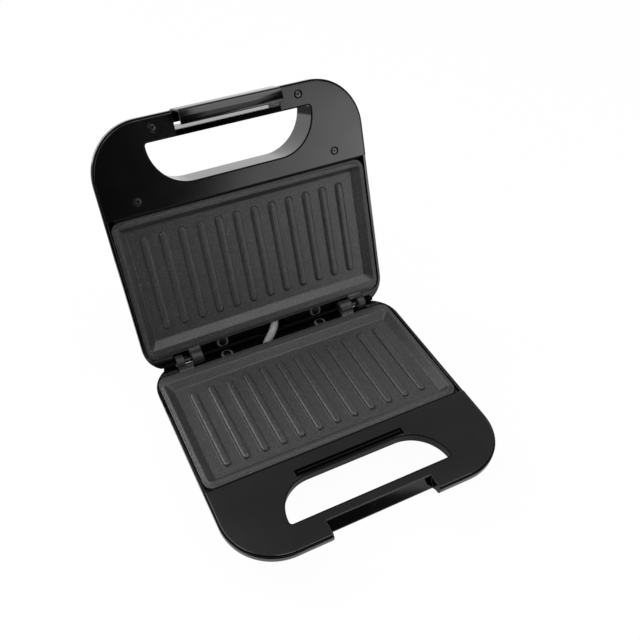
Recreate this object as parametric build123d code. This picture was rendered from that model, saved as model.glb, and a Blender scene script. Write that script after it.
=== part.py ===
"""Two-slice contact press: a base and a lid with ribbed cast plates, two rear hinges and a latch.

Every piece is drawn about the hinge axis, which is the X axis through the origin, with the
parting plane of the closed press at Z = 0 and the handle end at -Y. Base pieces lie below the
plane. Lid pieces are drawn in the same way, as if they belonged to the base, then mirrored
through the parting plane and swung open. At the end all of it moves to stand on Z = 0.
"""

from math import cos, pi, radians, sin, tan
import os

from build123d import *

# ---------------------------------------------------------------- driving dimensions (mm, degrees)
open_angle = 112.75
hinge_height = 42.0
hinge_back = 51.158
wall = 2.2

# outline shared by both housings
half_width = 113.4
base_front = -199.6
lid_front = -197.2
housing_rear = 3.0
handle_corner = 42.0
rear_corner = 27.5
lid_rear = 4.6
lid_rear_corner = 23.0
rim_top = -2.2
rim_foot = -8.6
rear_top_wall = 6.2
stop_clearance = 0.25

# finger holes: a D with its straight side at the front, as (half width, rear, rear corner radius)
hole_front = -179.3
hole_front_radius = 3.0
base_hole = (68.0, -146.0, 30.2)
lid_hole = (69.6, -143.2, 32.6)

# latch bay in the lid handle, notch and catch in the base handle
bay_half_width = 43.5
bay_rear = -183.2
lid_bar_foot = -24.0
lid_bar_front = -184.5
notch_rear = -186.2
catch_front = -191.5
catch_nose = -10.2
catch_under = -11.0

# lower housing tub
tub_floor = -38.0
tub_half_width = 111.4
tub_front = -138.5
tub_floor_half_width = 98.5
tub_floor_front = -126.5
tub_floor_rear = 1.0
inner_rear = -0.2

# upper housing
lid_top = -38.0
lid_taper = 14.0
lid_band = 6.0
lid_edge_radius = 9.0

# handle decks
deck_top = -0.4
deck_inset = 1.3
deck_rear = -128.8
grip_groove = ((-46.0, 46.0), (-145.2, -141.4), 1.3)

# cast plates
plate_half_width = 110.4
plate_front = -127.0
plate_rear = -7.1
skirt_rear = -12.0
plate_corner = 9.0
plate_top = -2.0
pan_half_width = 106.1
pan_front = -121.1
pan_rear = -16.2
pan_floor_half_width = 100.0
pan_floor_front = -116.8
pan_floor_rear = -21.9
pan_floor = -7.85
plate_wall = 3.4
skirt_foot = -7.5
lip_foot = -3.5
ledge_width = 2.2
ledge_drop = 0.8
rib_count = 12
rib_pitch = 15.8
rib_width = 6.4
rib_height = 2.4
rib_front = -110.0
rib_rear = -29.8

# hinges: each has one base knuckle and one lid knuckle on a pin, as (left, right, (barrel left, right));
# beside a narrower barrel the pin is bare and the arm stops short of it
knuckle_radius = 6.3
pin_radius = 2.0
base_bore_radius = 2.01
lid_bore_radius = 2.06
base_knuckles = ((-89.3, -76.2, (-89.3, -82.4)), (66.0, 77.9, (66.0, 77.9)))
lid_knuckles = ((-75.8, -66.0, (-75.8, -66.0)), (78.3, 91.3, (84.4, 91.3)))
bare_pin_clearance = 0.9
pins = ((-89.0, -66.3), (66.3, 91.0))
seal_radius = 1.9
seal_spans = ((-100.5, -90.2), (-65.1, -12.4), (10.4, 65.1), (92.2, 100.5))
pocket_radius = 7.2
pockets = ((-89.8, -65.5), (65.5, 91.8))

# rear strips between the hinges
strip_half_width = 63.6
strip_front = -11.4
strip_rear = 1.2
strip_top = -4.5
strip_foot = -6.5
strip_screw_x = 45.0
strip_screw_y = -4.1
strip_ring = (4.8, 3.4, 0.8)
lead_slot = (16.4, 8.8, -3.9)

# latch clip
latch_half_width = 41.6
latch_pivot = (-191.6, -17.2)
journal_radius = 1.8
journal_reach = 3.6
latch_front = -198.2
latch_tip = -191.9
hook_top = 11.6
hook_foot = 14.0
latch_wall = 1.9
spring_boss = (-41.6, -32.5)

# fasteners, feet, lamps, inlet
plate_screw_places = [(x, y) for x in (-92.0, 92.0) for y in (-108.0, -32.0)]
lid_deck_screw_places = [(-60.0, -188.6), (60.0, -188.6), (-84.5, -138.6), (84.5, -138.6)]
base_deck_screw_places = [(-60.0, -188.6), (60.0, -188.6), (-90.0, -148.0), (90.0, -148.0)]
foot_places = {
    "front_left": (-82.0, -112.0),
    "front_right": (82.0, -112.0),
    "rear_left": (-82.0, -10.0),
    "rear_right": (82.0, -10.0),
}
foot_radius = 8.0
lens_places = {"power": (-11.0, -118.0), "ready": (11.0, -118.0)}
lens_radius = 3.6
gland_x = 62.0
gland_z = -25.0
gland_bore = 3.6
lead_radius = 3.4

pan_underside = pan_floor - plate_wall


# ---------------------------------------------------------------- shapes used by several pieces
def rounded_plan(width, front, rear, front_radius, rear_radius):
    """A plan outline, symmetric about X = 0, at level 0 and facing up."""
    face = make_face(Polyline((-width, front), (width, front), (width, rear), (-width, rear), close=True))
    face = fillet(face.vertices().sort_by(Axis.Y)[:2], front_radius)
    corners = [v for v in face.vertices() if abs(v.Y - rear) < 1e-3 and abs(abs(v.X) - width) < 1e-3]
    return fillet(corners, rear_radius)


def slab(face, foot, top):
    """A plan face made solid between two levels."""
    return Pos(0, 0, foot) * extrude(face, amount=top - foot)


def block(x, y, z):
    """A box given by its lowest and highest coordinate along each axis."""
    spans = (x, y, z)
    middle = [(low + high) / 2 for low, high in spans]
    return Pos(*middle) * Box(*[high - low for low, high in spans])


def post(x, y, radius, foot, top):
    """An upright round post or hole."""
    return Pos(x, y, (foot + top) / 2) * Cylinder(radius, top - foot)


def bar_along_x(place, radius, left, right):
    """A round bar parallel to the hinge axis, at a (y, z) place."""
    return Pos((left + right) / 2, *place) * Rot(0, 90, 0) * Cylinder(radius, right - left)


def bar_along_y(x, z, radius, front, rear):
    """A round bar that points from the front to the rear."""
    return Pos(x, (front + rear) / 2, z) * Rot(90, 0, 0) * Cylinder(radius, rear - front)


def side_face(outline, rounded=()):
    """A profile of (y, z) points, some of whose corners are rounded: ((point number, radius), ...)."""
    face = make_face(Polyline(*outline, close=True))
    for number, radius in rounded:
        y, z = outline[number]
        corner = [v for v in face.vertices() if abs(v.X - y) < 1e-4 and abs(v.Y - z) < 1e-4]
        face = fillet(corner, radius)
    return Plane.YZ * face


def side_prism(face, left, right):
    """A side profile made solid from left to right."""
    return Pos(left, 0, 0) * extrude(face, amount=right - left, dir=(1, 0, 0))


def finger_hole(shape, grow=0.0):
    """The D outline of a finger hole, grown outwards all round."""
    width, rear, rear_radius = shape
    return rounded_plan(width + grow, hole_front - grow, rear + grow, hole_front_radius + grow,
                        rear_radius + grow)


def stop_slope():
    """What is cut off behind the hinge axis, so that the two sloping faces meet as the lid's stop."""
    slope = radians(open_angle / 2)
    start = (-stop_clearance * sin(slope), -stop_clearance * cos(slope))
    reach = 20.0
    end = (start[0] + reach * cos(slope), start[1] - reach * sin(slope))
    return side_prism(side_face([start, end, (40, end[1]), (40, 20), (start[0], 20)]), -130, 130)


def rear_cut():
    """Everything that both housings lose at the rear: stop slope, hinge pockets and strip seat."""
    cut = stop_slope()
    for left, right in pockets:
        cut += bar_along_x((0, 0), pocket_radius, left, right)
        cut += block((left, right), (skirt_rear - 0.5, 0), (-9.8, 1))
    cut += block((-strip_half_width - 0.2, strip_half_width + 0.2),
                 (strip_front - 0.5, strip_rear + 0.2), (strip_foot, 1))
    cut += block((-60, 60), (strip_front - 0.5, -2.4), (-9, 0))
    cut += block((-18, 18), (strip_front - 0.5, -0.3), (-9, 0))
    cut += slab(plate_outline(plate_rear + 0.5, 0.5), lip_foot - 0.3, 1)
    return cut


def plate_outline(rear, grow=0.0):
    """The plan of a plate's rim or skirt, which differ at the rear, grown outwards all round."""
    return rounded_plan(plate_half_width + grow, plate_front - grow, rear, plate_corner, plate_corner)


def strip_screw_bosses():
    """The two bosses in a housing that the rear strip is screwed to."""
    bosses = Part()
    for x in (-strip_screw_x, strip_screw_x):
        bosses += block((x - 3.6, x + 3.6), (strip_screw_y - 4.4, inner_rear + 0.2), (-16, strip_foot))
        bosses -= post(x, strip_screw_y, 1.25, -15, 0)
    return bosses


def outer_edges(faces):
    """The edges round a patch of faces, without those inside it."""
    return [e for f in faces for e in f.edges()
            if not any(e.is_same(other) for g in faces if g is not f for other in g.edges())]


def screw(x, y, seat, tip, head_radius, head_height, shank_radius):
    """A pan-head screw with a cross recess, seated at one level and pointing at its tip."""
    way = 1 if tip > seat else -1
    top = seat - way * head_height
    head = post(x, y, head_radius, min(seat, top), max(seat, top))
    crown = [e for e in head.edges().filter_by(GeomType.CIRCLE) if abs(e.center().Z - top) < 1e-3]
    head = fillet(crown, head_height * 0.45)
    shank = post(x, y, shank_radius, min(seat, tip), max(seat, tip))
    half, slot, depth = head_radius * 0.55, 0.4, head_height * 0.6
    levels = sorted((top - way, top + way * depth))
    cross = block((x - half, x + half), (y - slot, y + slot), levels)
    cross += block((x - slot, x + slot), (y - half, y + half), levels)
    return head + shank - cross


def tube(points, radius, bends):
    """A plain round tube along straight runs joined by tangent arcs."""
    path = FilletPolyline(*points, radius=bends)
    section = Plane(origin=path @ 0, z_dir=path % 0) * Circle(radius)
    return sweep(section, path=path)


# ---------------------------------------------------------------- base housing
def tub(inset, rear, floor_rear):
    """The tapering tub below the base plate, or its cavity."""
    top_level = -6.0 - inset * 0.2
    floor = tub_floor + inset
    top = rounded_plan(tub_half_width - inset, tub_front + inset, rear, 20 - inset, 24 - inset)
    bottom = rounded_plan(tub_floor_half_width - inset, tub_floor_front + inset, floor_rear,
                          16 - inset, 16 - inset)
    solid = loft([Pos(0, 0, floor) * bottom, Pos(0, 0, top_level) * top])
    return fillet(solid.faces().sort_by(Axis.Z)[0].edges(), 5.0 - inset)


def catch_profile():
    """Side view of what the latch notch removes from the base handle bar."""
    outline = [(notch_rear, 5), (notch_rear, deck_top), (catch_front, catch_nose), (catch_front, catch_under),
               (bay_rear, catch_under), (bay_rear, -20), (-215, -20), (-215, 5)]
    return side_face(outline, [(1, 0.8), (2, 0.6)])


def seal_ridge(left, right):
    """The round rib on the hinge axis that closes the slit between the housings at any lid angle."""
    web = [(-0.9, -1.0), (0.2, -1.0), (2.4, -4.4), (2.4, -5.6), (1.3, -5.6), (1.3, -3.6)]
    return bar_along_x((0, 0), seal_radius, left, right) + side_prism(side_face(web), left, right)


def make_base_shell():
    plan = rounded_plan(half_width, base_front, housing_rear, handle_corner, rear_corner)
    band = slab(plan, rim_foot, rim_top)
    band = fillet(band.faces().sort_by(Axis.Z)[0].edges(), 3.0)
    shell = band + tub(0, housing_rear, tub_floor_rear)

    # inside of the rim band, left solid at the rear where the top wall is
    inner_plan = rounded_plan(half_width - wall, base_front + wall, housing_rear - wall,
                              handle_corner - wall, rear_corner - wall)
    hollow = slab(inner_plan, rim_foot + wall, 1)
    hollow -= block((-130, 130), (skirt_rear + 0.5, 20), (-30, 5))
    hollow += tub(wall, inner_rear, tub_floor_rear - wall)
    hollow -= block((-130, 130), (skirt_rear + 0.5, 20), (rim_top - rear_top_wall, 5))
    hollow -= slab(finger_hole(base_hole, wall), -20, 5)
    hollow -= block((-bay_half_width - wall, bay_half_width + wall), (-215, hole_front), (-20, 5))
    shell -= hollow + slab(plate_outline(skirt_rear + 0.5, 0.5), skirt_foot - 0.5, 1)

    # catch bar: rises to the deck level inside the notch and ends below the rim
    shell += block((-bay_half_width, bay_half_width), (catch_front - 1, notch_rear), (rim_top - 1, deck_top))
    shell += block((-bay_half_width, bay_half_width), (catch_front - 1, bay_rear), (catch_under, rim_top - 1))
    shell -= side_prism(catch_profile(), -bay_half_width, bay_half_width)
    cheek = side_face([(bay_rear, rim_foot + 1), (bay_rear, catch_under), (catch_front, catch_under),
                       (base_front + wall, rim_foot + 1)])
    for inner in (-bay_half_width - wall, bay_half_width):
        shell += side_prism(cheek, inner, inner + wall)
    shell -= slab(finger_hole(base_hole), -50, 5)

    # posts for the plate screws, strip bosses, deck screw holes
    for x, y in plate_screw_places:
        shell += post(x, y, 5.4, tub_floor + 0.5, -15.3)
        shell -= post(x, y, 1.7, tub_floor - 1, 0)
        shell -= post(x, y, 3.9, tub_floor - 1, -30)
    shell -= rear_cut()
    shell += strip_screw_bosses()
    for left, right in seal_spans:
        shell += seal_ridge(left, right)
    for x, y in base_deck_screw_places:
        shell -= post(x, y, 1.6, -20, 0)
        shell -= post(x, y, 2.9, -20, -7.4)

    # vents and foot seats in the floor, cord inlet in the rear wall
    for column in range(8):
        for y in (-84.0, -44.0):
            vent = SlotOverall(24, 3, rotation=90)
            shell -= Pos(-35 + 10 * column, y, 0) * slab(vent, tub_floor - 1, tub_floor + 3)
    for x, y in foot_places.values():
        shell -= post(x, y, foot_radius + 0.2, tub_floor - 1, tub_floor + 1)
    shell -= bar_along_y(gland_x, gland_z, 6.2, -4, 10)
    return shell


# ---------------------------------------------------------------- lid housing
def lid_body(inset):
    """The tapering crown of the lid, rounded down towards the handle, or its cavity."""
    plan = rounded_plan(half_width - inset, lid_front + inset, lid_rear - inset,
                        handle_corner - inset, lid_rear_corner - inset)
    crown = lid_top + inset
    body = Pos(0, 0, -lid_band) * extrude(plan, amount=crown + lid_band, taper=lid_taper)
    outline = [(20, 5), (-215, 5), (-215, -2), (-199 + inset, -8), (-190 + inset, -27 + inset),
               (-132, crown), (20, crown)]
    profile = side_face(outline, [(4, 13 - inset), (5, 60)])
    body &= side_prism(profile, -130, 130)
    shoulders = [f for f in body.faces() if f.normal_at().Z < -0.55]
    return fillet(outer_edges(shoulders), lid_edge_radius - inset)


def make_lid_shell():
    plan = rounded_plan(half_width, lid_front, lid_rear, handle_corner, lid_rear_corner)
    outer = lid_body(0) + slab(plan, -8, rim_top)
    inner_plan = rounded_plan(half_width - wall, lid_front + wall, lid_rear - wall,
                              handle_corner - wall, lid_rear_corner - wall)
    hollow = lid_body(wall) + slab(inner_plan, -8.5, 1)
    hollow -= block((-130, 130), (skirt_rear + 0.5, 20), (rim_top - rear_top_wall, 5))
    hollow -= block((-130, 130), (inner_rear, 20), (-12, 5))
    hollow -= slab(finger_hole(lid_hole, wall), -50, 5)
    hollow -= block((-bay_half_width - wall, bay_half_width + wall), (-215, hole_front), (-50, 5))
    for x, y in lid_deck_screw_places:
        hollow -= post(x, y, 3.6, -50, 5)
    for x, y in plate_screw_places:
        hollow -= post(x, y, 5.4, -50, -15.3)
    shell = outer - hollow

    # latch bay: a thin deep wall is left across the front of the finger hole, with the clip before it
    bay = [(bay_rear, 5), (bay_rear, deck_top), (lid_bar_front, lid_bar_foot), (hole_front + 1, lid_bar_foot),
           (hole_front + 1, -50), (-215, -50), (-215, 5)]
    shell -= side_prism(side_face(bay, [(2, 0.8)]), -bay_half_width, bay_half_width)
    shell -= bar_along_x(latch_pivot, journal_radius + 0.06, -50, 50)
    shell -= slab(finger_hole(lid_hole), -50, 5)

    shell -= rear_cut()
    shell += strip_screw_bosses()
    for x, y in lid_deck_screw_places:
        shell -= post(x, y, 1.25, -12, 5)
    for x, y in plate_screw_places:
        shell -= post(x, y, 1.7, -50, 0)
        shell -= post(x, y, 3.9, -50, -30)
    for x, y in lens_places.values():
        shell -= post(x, y, lens_radius + 0.1, -50, -30)
    return shell


# ---------------------------------------------------------------- handle decks
def deck_blank(front, hole):
    plan = rounded_plan(half_width - deck_inset, front + deck_inset, 0, handle_corner - deck_inset, 5)
    deck = slab(plan, rim_top, deck_top)
    deck -= block((-130, 130), (deck_rear, 20), (-10, 10))
    deck -= slab(finger_hole(hole), -50, 5)
    return fillet(deck.faces().sort_by(Axis.Z)[-1].edges(), 0.5)


def make_base_handle_deck():
    deck = deck_blank(base_front, base_hole)
    for x, y in base_deck_screw_places:
        deck += post(x, y, 3.2, rim_foot + wall + 0.1, rim_top)
        deck -= post(x, y, 1.25, -9, -1.6)
    deck -= block((-bay_half_width, bay_half_width), (-215, notch_rear + 0.05), (-10, 5))
    (left, right), (front, rear), depth = grip_groove
    groove = SlotOverall(right - left, rear - front)
    return deck - Pos(0, (front + rear) / 2, 0) * slab(groove, deck_top - depth, deck_top + 1)


def make_lid_handle_deck():
    deck = deck_blank(lid_front, lid_hole)
    deck -= block((-bay_half_width, bay_half_width), (-215, bay_rear), (-10, 5))
    for x, y in lid_deck_screw_places:
        deck -= post(x, y, 1.7, -10, 5)
        deck -= post(x, y, 3.4, deck_top - 1.1, 5)
    return deck


# ---------------------------------------------------------------- cast plates with hinge knuckles
def pan(grow, drop):
    """The sloping-sided pan of a plate, or the same shape lower down for its underside."""
    mouth = rounded_plan(pan_half_width + grow, pan_front - grow, pan_rear + grow, 3 + grow, 3 + grow)
    floor = rounded_plan(pan_floor_half_width + grow, pan_floor_front - grow, pan_floor_rear + grow,
                         1.5 + grow, 1.5 + grow)
    return loft([Pos(0, 0, pan_floor - drop) * floor, Pos(0, 0, plate_top - drop) * mouth])


def make_plate(knuckles, bore_radius):
    plate = slab(plate_outline(plate_rear), lip_foot, plate_top - ledge_drop)
    plate = fillet(plate.faces().sort_by(Axis.Z)[-1].edges(), 0.6)
    raised = slab(plate_outline(plate_rear - ledge_width, -ledge_width), lip_foot, plate_top)
    plate += chamfer(raised.faces().sort_by(Axis.Z)[-1].edges(), ledge_drop * 0.9)
    plate += slab(plate_outline(skirt_rear), skirt_foot, lip_foot)
    inner = rounded_plan(plate_half_width - 2.6, plate_front + 2.6, skirt_rear - 2.6,
                         plate_corner - 2.6, plate_corner - 2.6)
    plate -= slab(inner, skirt_foot - 1, plate_top - 3.8)
    plate += pan(0.8, plate_wall) & block((-120, 120), (-140, 0), (-20, plate_top - 1.6))
    plate -= pan(0, 0)
    for number in range(rib_count):
        x = (number - (rib_count - 1) / 2) * rib_pitch
        rib = slab(SlotOverall(rib_rear - rib_front, rib_width, rotation=90), pan_floor - 0.5,
                   pan_floor + rib_height)
        rib = fillet(rib.faces().sort_by(Axis.Z)[-1].edges(), 1.9)
        plate += Pos(x, (rib_front + rib_rear) / 2, 0) * rib
    for x, y in plate_screw_places:
        plate += post(x, y, 4.2, -15.0, pan_underside + 0.5)
        plate -= post(x, y, 1.55, -15.5, pan_underside + 0.2)
    for left, right, (barrel_left, barrel_right) in knuckles:
        arm = [(skirt_rear - 1, -8.8), (skirt_rear - 1, -3.0), (plate_rear - 0.4, plate_top - 0.3),
               (-5.9, 1.2), (-2.0, -1.6), (-2.0, -5.6)]
        plate += side_prism(side_face(arm), left, right)
        plate -= bar_along_x((0, 0), pin_radius + bare_pin_clearance, left - 1, right + 1)
        barrel = bar_along_x((0, 0), knuckle_radius, barrel_left, barrel_right)
        plate += chamfer(barrel.edges().filter_by(GeomType.CIRCLE), 0.5)
        plate -= bar_along_x((0, 0), bore_radius, left - 1, right + 1)
    return plate


# ---------------------------------------------------------------- heating
heater_rows = (-93.0, -45.0)
heater_radius = 3.2
heater_level = pan_underside - heater_radius - 0.1
reflector_level = -22.0


def make_heater():
    """A U of tubular element with a bare pin at each end."""
    front, rear = heater_rows
    middle, reach = (front + rear) / 2, (rear - front) / 2
    path = Polyline((-84, front), (60, front)) + ThreePointArc((60, front), (60 + reach, middle), (60, rear))
    path += Polyline((60, rear), (-84, rear))
    path = Pos(0, 0, heater_level) * path
    heater = sweep(Plane(origin=path.wire() @ 0, z_dir=path.wire() % 0) * Circle(heater_radius), path=path.wire())
    for y in heater_rows:
        heater += bar_along_x((y, heater_level), 1.3, -98, -83)
    return heater


def make_reflector():
    """A folded aluminium channel that throws the heat back at the plate."""
    sheet = block((-99, 99), (-118, -23), (reflector_level, reflector_level + 0.8))
    for front in (-118, -23.8):
        sheet += block((-99, 99), (front, front + 0.8), (reflector_level, reflector_level + 5.5))
    for x, y in plate_screw_places:
        sheet -= post(x, y, 6.2, -30, -10)
    return sheet


def make_thermostat():
    body = post(14, -69, 7.5, -20.4, pan_underside - 0.1)
    body += block((3, 25), (-73, -65), (-14.4, pan_underside - 0.1))
    for side in (-1, 1):
        body += block((14 + side * 5 - 0.4, 14 + side * 5 + 0.4), (-71.5, -66.5), (-21.0, -20.4))
    return body


def make_thermal_fuse():
    fuse = bar_along_x((-69, pan_underside - 2.9), 2.7, -62, -28)
    for left, right in ((-70, -62), (-28, -20)):
        fuse += bar_along_x((-69, pan_underside - 2.9), 0.8, left, right)
    return fuse


def make_terminal_block(left, floor):
    """Three-way ceramic block with its screw wells, standing on a housing floor."""
    right = left + 34
    block_solid = block((left, right), (-34, -21), (floor, floor + 11))
    for number in range(3):
        block_solid -= post(left + 6 + 11 * number, -27.5, 2.2, floor + 4, floor + 12)
    return block_solid


# ---------------------------------------------------------------- rear strips, hinge pins, latch
def make_strip(lead_x):
    """The black cover between the hinges, with a ringed screw seat at each end and a lead hole."""
    strip = block((-strip_half_width, strip_half_width), (strip_front, strip_rear), (strip_foot, strip_top))
    outer, inner, height = strip_ring
    for x in (-strip_screw_x, strip_screw_x):
        strip += post(x, strip_screw_y, outer, strip_top, strip_top + height)
        strip -= post(x, strip_screw_y, inner, strip_top, strip_top + 2)
        strip -= post(x, strip_screw_y, 1.35, strip_foot - 1, strip_top + 1)
    length, width, y = lead_slot
    return strip - Pos(lead_x, y, 0) * slab(SlotOverall(length, width), strip_foot - 1, strip_top + 1)


def make_latch():
    inside = latch_front + latch_wall
    outline = [
        (latch_tip, hook_top),
        (latch_tip, hook_foot),
        (latch_front, hook_foot),
        (latch_front, -6.0),
        (-195.4, -18.4),
        (-192.4, -21.2),
        (-189.2, -19.6),
        (-189.2, -15.0),
        (-193.2, -12.6),
        (inside, -4.5),
        (inside, hook_top),
    ]
    rounded = [(1, 0.9), (2, 5.0), (3, 9.0), (4, 2.8), (5, 2.0), (6, 1.6), (7, 1.6), (9, 5.0), (10, 0.4)]
    latch = side_prism(side_face(outline, rounded), -latch_half_width, latch_half_width)
    boss = [(-191.4, -19.6), (-191.4, -13.4), (-187.2, -13.4), (-187.2, -19.6)]
    latch += side_prism(side_face(boss, [(2, 1.0), (3, 1.0)]), *spring_boss)
    reach = latch_half_width + journal_reach
    return latch + bar_along_x(latch_pivot, journal_radius, -reach, reach)


# ---------------------------------------------------------------- feet, inlet, lamps, leads
def make_foot(x, y):
    foot = Pos(x, y, 0) * slab(Circle(foot_radius), -hinge_height, tub_floor + 0.9)
    return fillet(foot.faces().sort_by(Axis.Z)[0].edges(), 1.2)


def make_gland():
    gland = bar_along_y(gland_x, gland_z, 6.0, -5.0, 4.2)
    gland += bar_along_y(gland_x, gland_z, 8.4, 2.6, 4.6)
    gland += bar_along_y(gland_x, gland_z, 7.8, -3.6, -1.4)
    gland = fillet(gland.faces().sort_by(Axis.Y)[-1].edges(), 0.8)
    return gland - bar_along_y(gland_x, gland_z, gland_bore, -10, 12)


def make_lens(x, y):
    lens = post(x, y, lens_radius, lid_top - 1.6, -34.6)
    lens = fillet(lens.faces().sort_by(Axis.Z)[0].edges(), 1.4)
    return lens + post(x, y, 5.0, -35.7, -34.6)


def make_lamp_carrier():
    carrier = block((-20, 20), (-123, -113), (-34.4, -25))
    for side in (-1, 1):
        carrier += block(sorted((side * 17, side * 20)), (-123, -113), (-35.7, -34.4))
    for x, y in lens_places.values():
        carrier -= post(x, y, 3.2, -40, -26.2)
    return carrier


def make_lamp(x, y):
    lamp = post(x, y, 2.9, -33.6, -26.4)
    return fillet(lamp.faces().sort_by(Axis.Z)[0].edges(), 2.2)


# ---------------------------------------------------------------- assembly
stand = Pos(0, hinge_back, hinge_height)
swing = Rot(-open_angle, 0, 0)


def in_base(solid):
    return stand * solid


def in_lid(solid):
    return stand * swing * mirror(solid, about=Plane.XY)


def together(solids):
    """Like pieces that share a node, kept as separate solids."""
    return Compound(children=list(solids))


def lid_point(x, y, z):
    """Where a point drawn in a lid piece stands about the hinge axis once the lid is open."""
    angle = radians(open_angle)
    return (x, y * cos(angle) - z * sin(angle), -y * sin(angle) - z * cos(angle))


crossover_route = [
    (-11, -16, -27),
    (-13.7, -7.7, -15.6),
    (-10.8, -4.2, -6.6),
    (-5.3, -2.5, -0.6),
    (1.6, 0.4, 2.3),
    lid_point(7.2, -3.6, -5.1),
    lid_point(11, -7.9, -13.2),
    lid_point(9.8, -15, -22.5),
]


def tube_bends(points):
    """Arc radii as large as the runs allow: 0.45 of the shorter run over the tangent of half the turn."""
    bends = []
    for before, here, after in zip(points, points[1:], points[2:]):
        first, second = Vector(*here) - Vector(*before), Vector(*after) - Vector(*here)
        half_turn = radians(first.get_angle(second) / 2)
        bends.append(0.45 * min(first.length, second.length) / tan(half_turn))
    return bends


def make_crossover_lead():
    bends = tube_bends(crossover_route)
    lead = tube(crossover_route, lead_radius, bends)
    path = FilletPolyline(*crossover_route, radius=bends)
    print("crossover lead radii", [round(r, 1) for r in bends], "length", round(path.length, 1),
          "volume ratio", round(lead.volume / (pi * lead_radius**2 * path.length), 4))
    return lead


base_pieces = {
    "base_shell": make_base_shell(),
    "base_handle_deck": make_base_handle_deck(),
    "base_grill_plate": make_plate(base_knuckles, base_bore_radius),
    "base_heater": make_heater(),
    "base_heat_reflector": make_reflector(),
    "base_plate_screws": together(screw(x, y, -30, -12.2, 3.4, 2.2, 1.5) for x, y in plate_screw_places),
    "base_deck_screws": together(screw(x, y, -7.4, -2.0, 2.6, 1.1, 1.2) for x, y in base_deck_screw_places),
    "base_rear_strip": make_strip(-7),
    "base_strip_screws": together(
        screw(x, strip_screw_y, strip_top, -14, 3.0, 1.0, 1.2) for x in (-strip_screw_x, strip_screw_x)),
    "hinge_pins": together(bar_along_x((0, 0), pin_radius, left, right) for left, right in pins),
    "thermostat": make_thermostat(),
    "base_thermal_fuse": make_thermal_fuse(),
    "base_terminal_block": make_terminal_block(18, tub_floor + wall),
    "cord_gland": make_gland(),
    "crossover_lead": make_crossover_lead(),
}
for name, (foot_x, foot_y) in foot_places.items():
    base_pieces["foot_" + name] = make_foot(foot_x, foot_y)

lid_pieces = {
    "lid_shell": make_lid_shell(),
    "lid_handle_deck": make_lid_handle_deck(),
    "lid_grill_plate": make_plate(lid_knuckles, lid_bore_radius),
    "lid_heater": make_heater(),
    "lid_heat_reflector": make_reflector(),
    "lid_plate_screws": together(screw(x, y, -30, -12.2, 3.4, 2.2, 1.5) for x, y in plate_screw_places),
    "lid_deck_screws": together(
        screw(x, y, deck_top - 1.1, -11, 3.0, 1.0, 1.2) for x, y in lid_deck_screw_places),
    "lid_rear_strip": make_strip(6.5),
    "lid_strip_screws": together(
        screw(x, strip_screw_y, strip_top, -14, 3.0, 1.0, 1.2) for x in (-strip_screw_x, strip_screw_x)),
    "lid_thermal_fuse": make_thermal_fuse(),
    "lid_terminal_block": make_terminal_block(18, lid_top + wall + 0.1),
    "lamp_carrier": make_lamp_carrier(),
    "neon_lamps": together(make_lamp(x, y) for x, y in lens_places.values()),
    "latch_clip": make_latch(),
}
for name, (lens_x, lens_y) in lens_places.items():
    lid_pieces["lens_" + name] = make_lens(lens_x, lens_y)

os.makedirs("parts", exist_ok=True)
placed = {name: in_base(solid) for name, solid in base_pieces.items()}
placed.update({name: in_lid(solid) for name, solid in lid_pieces.items()})
for name, solid in placed.items():
    export_step(solid, f"parts/{name}.step")

extent = Compound(children=list(placed.values())).bounding_box()
print("extent", extent.min, extent.max)
latch_y, latch_z = lid_point(0, *latch_pivot)[1:]
print("latch axis", round(latch_y + hinge_back, 3), round(latch_z + hinge_height, 3))
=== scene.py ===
"""Studio scene of a two-slice sandwich press: finishes and fine pieces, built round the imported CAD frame."""
from math import cos, pi, radians, sin

import bmesh
import bpy
from mathutils import Matrix, Quaternion, Vector


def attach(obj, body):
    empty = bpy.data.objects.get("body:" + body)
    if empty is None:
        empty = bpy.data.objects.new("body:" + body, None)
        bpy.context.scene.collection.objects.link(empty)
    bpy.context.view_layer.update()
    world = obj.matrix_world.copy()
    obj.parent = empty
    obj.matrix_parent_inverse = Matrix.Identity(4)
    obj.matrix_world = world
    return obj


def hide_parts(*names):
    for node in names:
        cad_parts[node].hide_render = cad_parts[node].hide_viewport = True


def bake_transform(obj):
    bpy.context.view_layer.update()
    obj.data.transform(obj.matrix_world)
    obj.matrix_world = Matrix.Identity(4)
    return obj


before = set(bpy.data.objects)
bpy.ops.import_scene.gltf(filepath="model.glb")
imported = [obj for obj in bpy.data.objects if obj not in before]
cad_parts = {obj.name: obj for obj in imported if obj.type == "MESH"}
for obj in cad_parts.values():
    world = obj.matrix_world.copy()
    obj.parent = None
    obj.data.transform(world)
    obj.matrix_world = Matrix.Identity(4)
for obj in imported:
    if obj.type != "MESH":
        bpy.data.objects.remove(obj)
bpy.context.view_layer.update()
bpy.ops.object.select_all(action="DESELECT")

# ------------------------------------------------------------------ base and lid housings
# Two deep tubs of black ABS, injection moulded in polished tools, so that their skin is glossy,
# with the faint waviness and the fine handling haze of moulded plastic.


def surface(name, color, roughness, **sockets):
    """A material of one Principled shader; the other sockets are given by their names with _ for a space."""
    material = bpy.data.materials.new(name)
    material.use_nodes = True
    shader = material.node_tree.nodes["Principled BSDF"]
    shader.inputs["Base Color"].default_value = (*color, 1)
    shader.inputs["Roughness"].default_value = roughness
    for socket, value in sockets.items():
        shader.inputs[socket.replace("_", " ")].default_value = value
    return material


def add_node(tree, kind, **settings):
    """A node of a tree, with its properties set by name and its input sockets by Name=value in `inputs`."""
    node = tree.nodes.new(kind)
    for socket, value in settings.pop("inputs", {}).items():
        node.inputs[socket].default_value = value
    for setting, value in settings.items():
        setattr(node, setting, value)
    return node


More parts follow.
